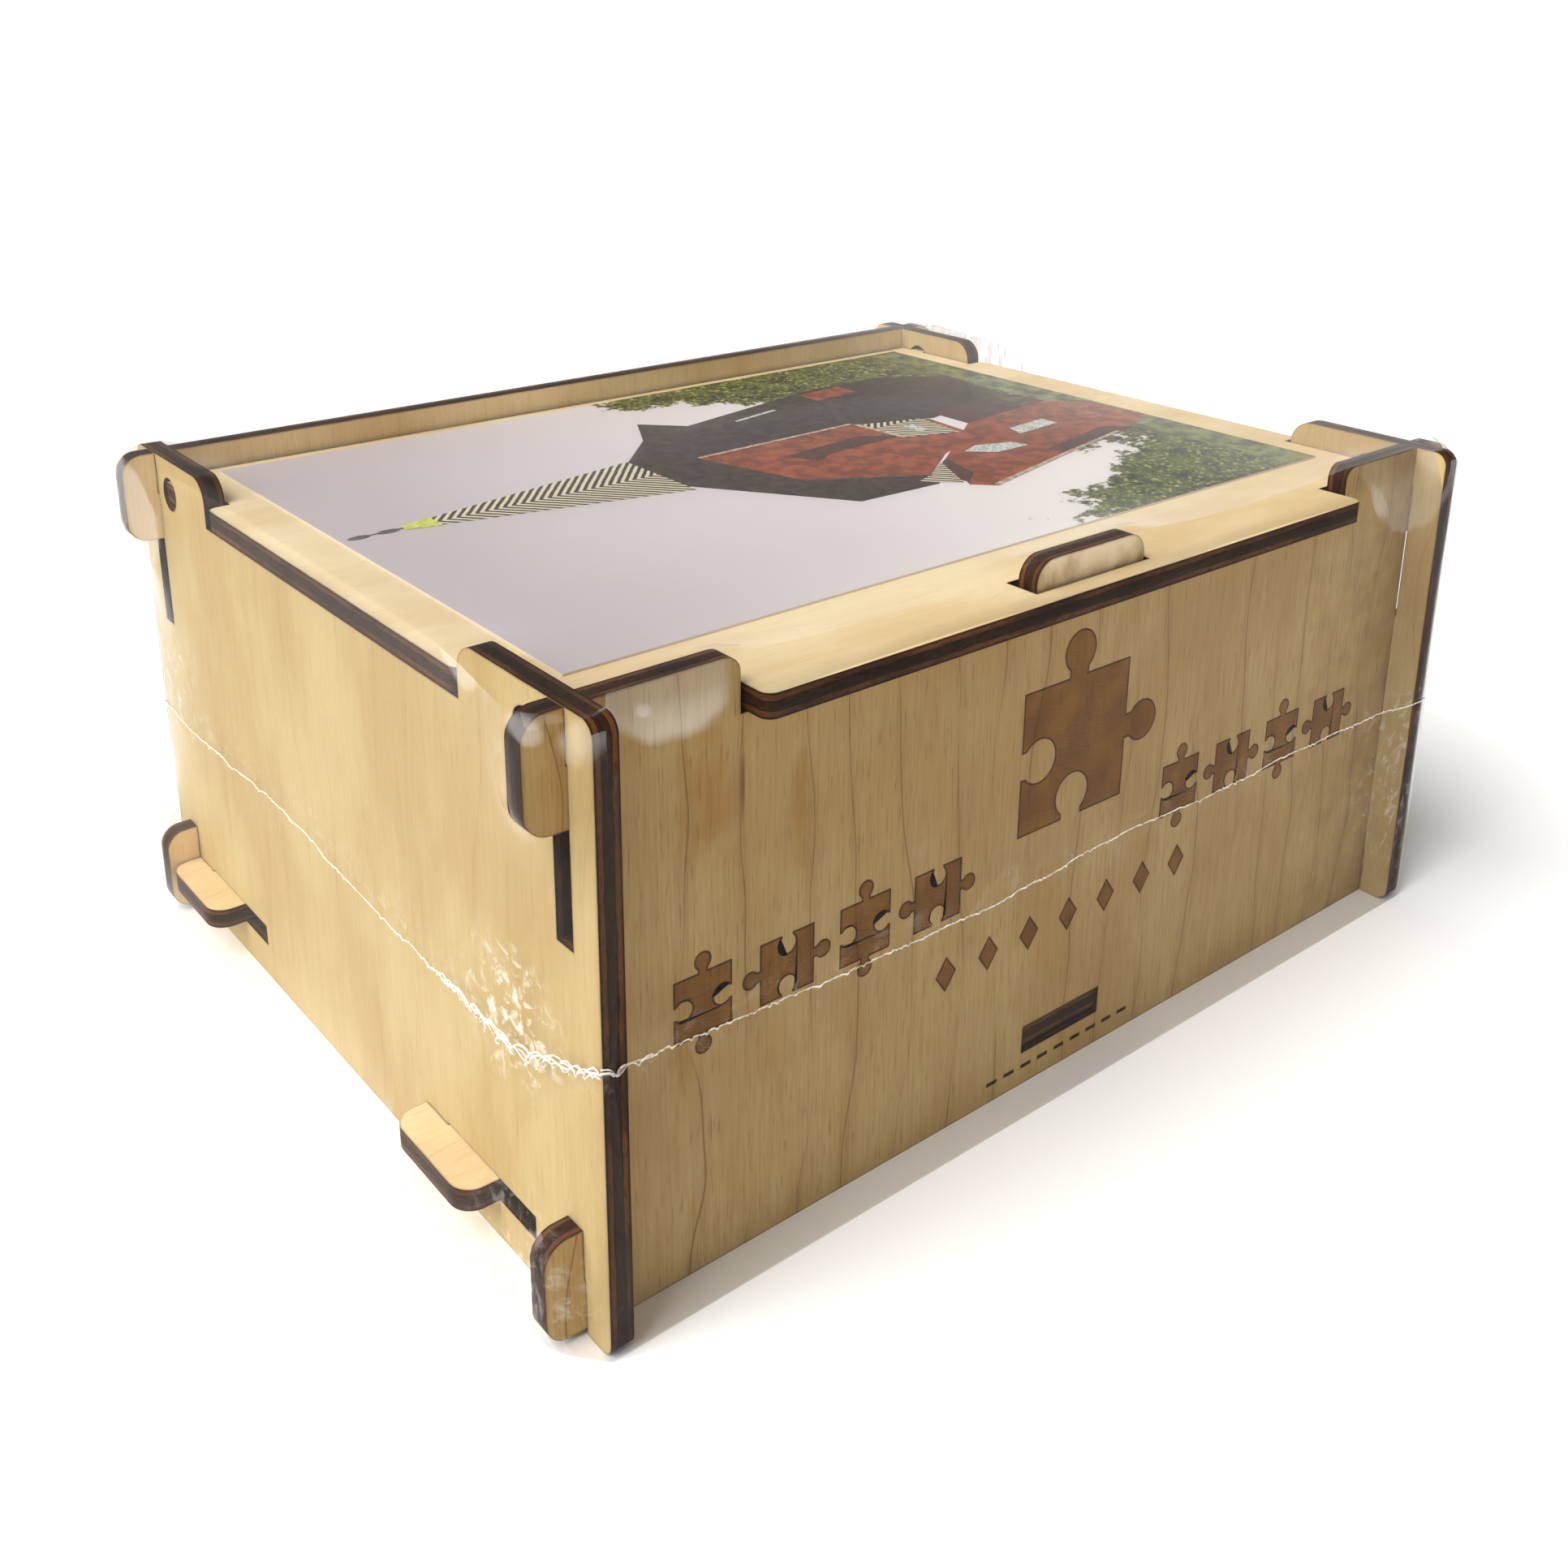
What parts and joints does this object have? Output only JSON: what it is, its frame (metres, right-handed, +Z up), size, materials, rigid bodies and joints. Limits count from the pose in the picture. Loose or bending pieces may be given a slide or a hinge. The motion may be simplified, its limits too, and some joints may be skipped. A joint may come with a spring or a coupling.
{
  "type": "boxed jigsaw puzzle",
  "caption": "Boxed wooden jigsaw puzzle: laser-cut plywood box with hooked panels, a hinged lid with a picture on it, loose jigsaw pieces inside and clear shrink film.",
  "frame": {"origin": "centre of the box's footprint on the surface that it stands on", "axes": "+Z up; +X along the long front side, to the right as seen from the front; the front faces -Y"},
  "size_m": [0.1646, 0.1268, 0.0761],
  "materials": {
    "plywood": "satin",
    "print": "satin",
    "film": "gloss"
  },
  "bodies": {
    "box": {"side_panel_left": "plywood", "side_panel_right": "plywood", "front_panel": "plywood", "back_panel": "plywood", "floor_panel": "plywood", "puzzle_piece_01": "plywood", "puzzle_piece_02": "plywood", "puzzle_piece_03": "plywood", "puzzle_piece_04": "plywood", "puzzle_piece_05": "plywood", "puzzle_piece_06": "plywood", "puzzle_piece_07": "plywood", "puzzle_piece_08": "plywood", "puzzle_piece_09": "plywood", "puzzle_piece_10": "plywood", "puzzle_piece_11": "plywood", "puzzle_piece_12": "plywood", "puzzle_piece_13": "plywood", "puzzle_piece_14": "plywood", "puzzle_piece_15": "plywood", "puzzle_piece_16": "plywood", "puzzle_piece_17": "plywood", "puzzle_piece_18": "plywood", "puzzle_piece_19": "plywood", "puzzle_piece_20": "plywood", "puzzle_piece_21": "plywood", "puzzle_piece_22": "plywood", "puzzle_piece_23": "plywood", "puzzle_piece_24": "plywood", "puzzle_piece_25": "plywood", "puzzle_piece_26": "plywood", "puzzle_piece_27": "plywood", "puzzle_piece_28": "plywood", "puzzle_piece_29": "plywood", "puzzle_piece_30": "plywood", "puzzle_piece_31": "plywood", "puzzle_piece_32": "plywood", "puzzle_piece_33": "plywood", "puzzle_piece_34": "plywood", "puzzle_piece_35": "plywood", "puzzle_piece_36": "plywood", "puzzle_piece_37": "plywood", "puzzle_piece_38": "plywood", "puzzle_piece_39": "plywood", "puzzle_piece_40": "plywood", "film_sleeve": "film"},
    "lid": {"lid": "plywood", "lid_print": "print", "film_lid": "film"}
  },
  "joints": [
    {"name": "lid_hinge", "type": "hinge", "parent": "box", "child": "lid", "pos_m": [0, 0.0502, 0.07025], "axis": [-1, 0, 0], "range_deg": [0, 115]}
  ]
}
